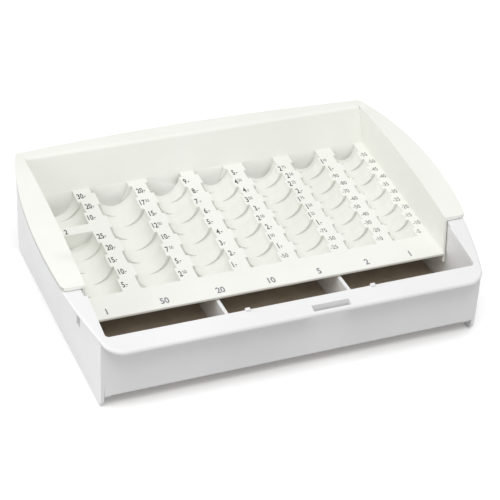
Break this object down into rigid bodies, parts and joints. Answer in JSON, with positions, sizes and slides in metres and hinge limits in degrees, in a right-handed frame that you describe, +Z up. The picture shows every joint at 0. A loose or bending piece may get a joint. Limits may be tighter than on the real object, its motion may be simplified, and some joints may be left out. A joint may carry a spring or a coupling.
{
  "type": "till insert",
  "caption": "Sloping coin-counting tray with stepped half-round channels, lifting off a note tray with open compartments, dividers and a bowed lip.",
  "frame": {"origin": "middle of the footprint, on the table under the skids", "axes": "+X to the right along the front lip, +Y to the rear, +Z up"},
  "size_m": [0.274, 0.2004, 0.0718],
  "materials": {
    "white_plastic": "fine satin",
    "ivory_plastic": "fine satin",
    "brown_board": "matt hardboard"
  },
  "bodies": {
    "note_tray": {"front_panel": "white_plastic", "rear_panel": "white_plastic", "side_plate_left": "white_plastic", "side_plate_right": "white_plastic", "front_lip": "white_plastic", "side_lip_left": "white_plastic", "side_lip_right": "white_plastic", "floor_rail_left": "white_plastic", "floor_rail_right": "white_plastic", "floor_panel": "brown_board", "divider_left": "white_plastic", "divider_right": "white_plastic"},
    "coin_tray": {"label_strip": "ivory_plastic", "coin_channel_1_front": "ivory_plastic", "coin_channel_1_rear": "ivory_plastic", "coin_channel_2": "ivory_plastic", "coin_channel_3": "ivory_plastic", "coin_channel_4": "ivory_plastic", "coin_channel_5": "ivory_plastic", "coin_channel_6": "ivory_plastic", "coin_channel_7": "ivory_plastic", "channel_crossbar": "ivory_plastic", "back_wall": "ivory_plastic", "rear_flange": "ivory_plastic", "tray_wall_left": "ivory_plastic", "tray_wall_right": "ivory_plastic", "tray_flange_left": "ivory_plastic", "tray_flange_right": "ivory_plastic"}
  },
  "joints": [
    {"name": "tray_lift", "type": "slide", "parent": "note_tray", "child": "coin_tray", "axis": [0, 0, 1], "range_m": [0, 0.12]}
  ]
}
